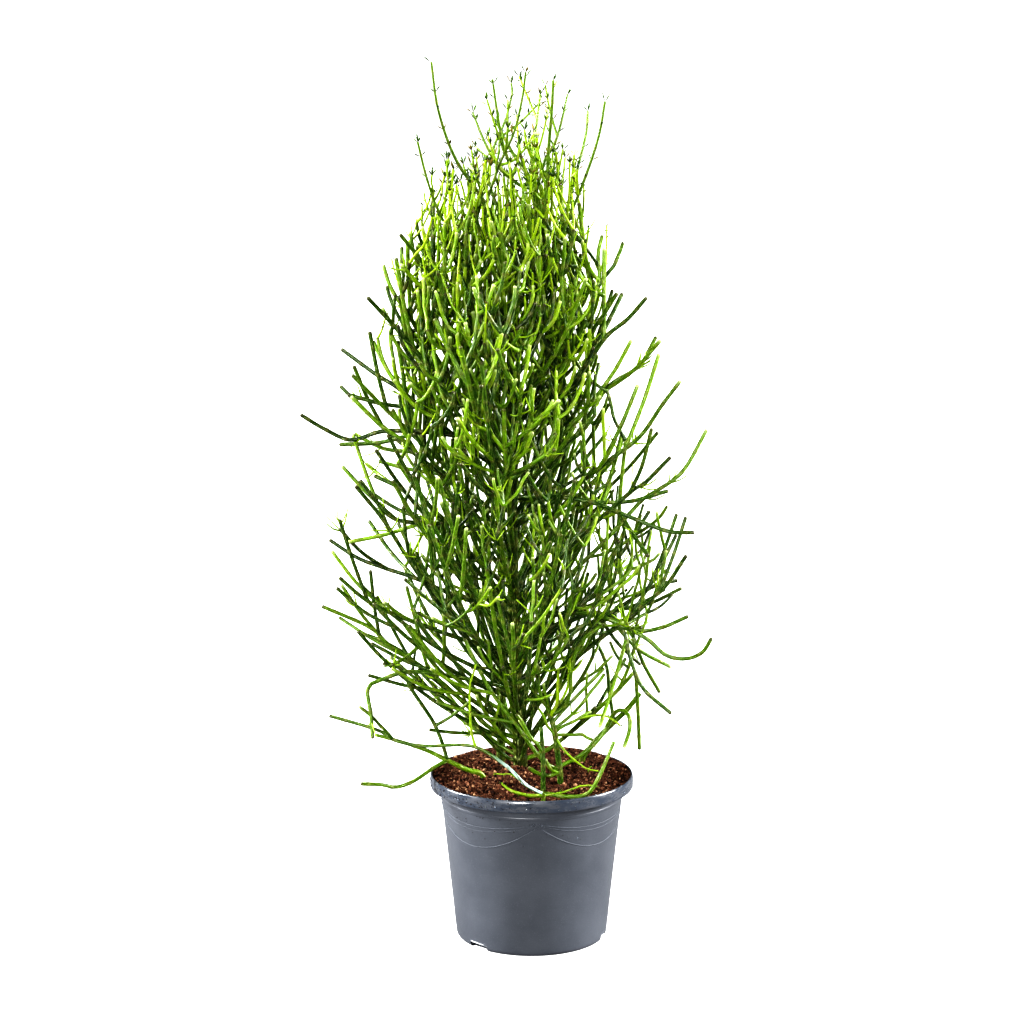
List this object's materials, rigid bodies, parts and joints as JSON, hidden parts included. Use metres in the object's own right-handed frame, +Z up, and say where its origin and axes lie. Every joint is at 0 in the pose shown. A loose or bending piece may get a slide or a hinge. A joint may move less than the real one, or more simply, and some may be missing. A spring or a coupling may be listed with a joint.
{
  "type": "potted euphorbia",
  "caption": "Tall bushy pencil-stem euphorbia with forked green leafless branches, rooted in soil in a round tapered nursery pot.",
  "frame": {"origin": "middle of the pot's flat underside", "axes": "+Z up along the pot's axis, +X to the viewer's right, +Y away from the viewer"},
  "size_m": [0.5896, 0.4973, 1.2864],
  "materials": {
    "pot_plastic": "satin slate-grey moulded polypropylene",
    "peat_soil": "moist peat with coarse brown fibres",
    "stem_green": "smooth waxy green skin, brighter on young shoots"
  },
  "bodies": {
    "root": {"pot": "pot_plastic", "soil": "peat_soil", "stem_main": "stem_green", "stem_second": "stem_green", "stem_left_low": "stem_green", "stem_front_a": "stem_green", "stem_front_b": "stem_green", "stem_front_edge": "stem_green", "stem_right_back": "stem_green"}
  },
  "joints": []
}
